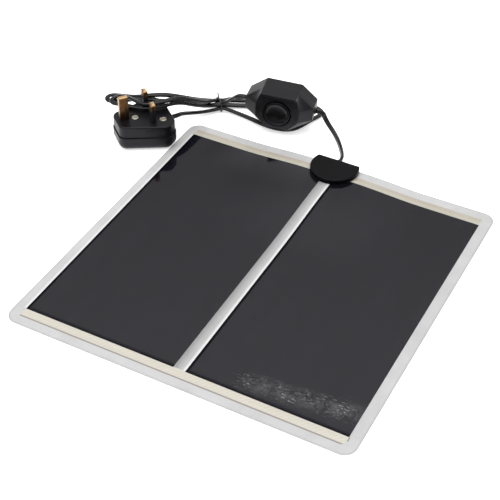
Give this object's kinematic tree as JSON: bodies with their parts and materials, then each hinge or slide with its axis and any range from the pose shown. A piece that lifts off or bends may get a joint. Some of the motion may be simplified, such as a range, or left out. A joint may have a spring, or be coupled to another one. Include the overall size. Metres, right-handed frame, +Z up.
{
  "type": "seedling heat mat",
  "caption": "Thin laminated carbon-film heating mat with a rear terminal clamp, an inline rotary controller and a tied flat mains lead with a three-pin plug.",
  "frame": {"origin": "on the floor under the middle of the mat and its terminal clamp", "axes": "+Y runs from the mat's front edge to the edge with the terminal clamp, +Z up, +X to the right seen from the front"},
  "size_m": [0.3527, 0.3503, 0.0467],
  "materials": {
    "film": "frosted clear polyester",
    "adhesive": "clear bonding film",
    "carbon": "printed carbon under film",
    "busbar": "beige printed conductor under film",
    "black_plastic": "satin moulded",
    "soft_rubber": "matt",
    "brass": "drawn",
    "tinned_steel": "tin plated",
    "copper": "stranded copper",
    "lead_sheath": "soft satin PVC",
    "tie_wire": "plastic-covered wire",
    "knob_plastic": "satin moulded",
    "shaft_plastic": "moulded nylon",
    "board": "phenolic board",
    "aluminium": "mill finish",
    "component_plastic": "dipped",
    "screw_steel": "zinc plated",
    "sleeve_plastic": "moulded on the pins",
    "fuse_ceramic": "ceramic tube"
  },
  "bodies": {
    "mat": {"film_bottom": "film", "film_top": "film", "bonding_layer": "adhesive", "carbon_panel_left": "carbon", "carbon_panel_right": "carbon", "busbar_front": "busbar", "busbar_rear_left": "busbar", "busbar_rear_right": "busbar", "terminal_base": "black_plastic", "terminal_cover": "black_plastic", "terminal_gasket": "soft_rubber", "terminal_bush": "soft_rubber", "terminal_eyelets": "brass", "crimp_tabs": "tinned_steel", "mat_lead_cores": "copper", "mat_lead": "lead_sheath", "mains_lead": "lead_sheath", "twist_tie": "tie_wire", "controller_front_shell": "black_plastic", "controller_rear_shell": "black_plastic", "potentiometer": "tinned_steel", "circuit_board": "board", "heat_sink": "aluminium", "triac": "black_plastic", "capacitor": "component_plastic", "choke": "copper", "resistors": "component_plastic", "controller_cores_left": "copper", "controller_cores_right": "copper", "controller_bush_left": "soft_rubber", "controller_bush_right": "soft_rubber", "shell_screws": "screw_steel", "plug_base": "black_plastic", "plug_cover": "black_plastic", "earth_pin": "brass", "live_pin": "brass", "neutral_pin": "brass", "pin_sleeves": "sleeve_plastic", "plug_screws": "screw_steel", "fuse": "fuse_ceramic", "fuse_clips": "brass", "cord_grip": "component_plastic", "cord_grip_screws": "screw_steel", "plug_cores": "copper", "plug_bush": "soft_rubber"},
    "knob": {"control_knob": "knob_plastic", "knob_shaft": "shaft_plastic"}
  },
  "joints": [
    {"name": "knob_turn", "type": "hinge", "parent": "mat", "child": "knob", "pos_m": [-0.06665, 0.15425, 0.0224], "axis": [0.2269, -0.9733, 0.0348], "range_deg": [-140, 140]}
  ]
}
